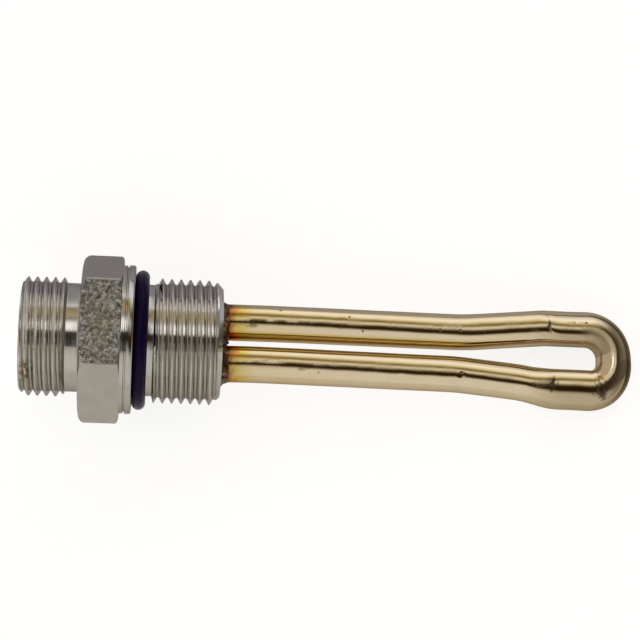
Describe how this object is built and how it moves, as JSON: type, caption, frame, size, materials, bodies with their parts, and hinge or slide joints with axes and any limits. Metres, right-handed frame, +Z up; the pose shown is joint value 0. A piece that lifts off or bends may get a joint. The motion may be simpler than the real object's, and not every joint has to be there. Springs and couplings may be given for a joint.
{
  "type": "engine block heater",
  "caption": "Immersion engine heater: a threaded hexagon plug with a rubber sealing ring and a cord socket, brazed to a tubular heating element bent into a long loop.",
  "frame": {"origin": "centre of the collar's sealing face", "axes": "the heater lies as it rests on a flat surface: +X runs from the cord side towards the loop, with the thread axis tipped 6.5 degrees below +X; +Z is up"},
  "size_m": [0.1335, 0.037, 0.033],
  "materials": {
    "plug_steel": "turned and milled, satin",
    "seal_rubber": "smooth satin, dark purple",
    "sheath_steel": "bright, straw tinted by heat",
    "braze_alloy": "glossy, beaded, darkened",
    "magnesia": "packed powder",
    "coil_alloy": "drawn wire",
    "pin_steel": "drawn rod",
    "end_seal": "cured silicone",
    "ceramic": "fired ceramic",
    "carrier_plastic": "moulded phenolic",
    "contact_brass": "tin-plated brass, satin",
    "potting_resin": "cast epoxy"
  },
  "bodies": {
    "root": {"plug_body": "plug_steel", "o_ring": "seal_rubber", "element_sheath": "sheath_steel", "braze_pool": "braze_alloy", "magnesia_fill": "magnesia", "resistance_coil": "coil_alloy", "line_cold_pin": "pin_steel", "neutral_cold_pin": "pin_steel", "line_end_seal": "end_seal", "neutral_end_seal": "end_seal", "line_leg_bushing": "ceramic", "neutral_leg_bushing": "ceramic", "terminal_carrier": "carrier_plastic", "line_contact": "contact_brass", "neutral_contact": "contact_brass", "earth_contact": "contact_brass", "potting": "potting_resin"}
  },
  "joints": []
}
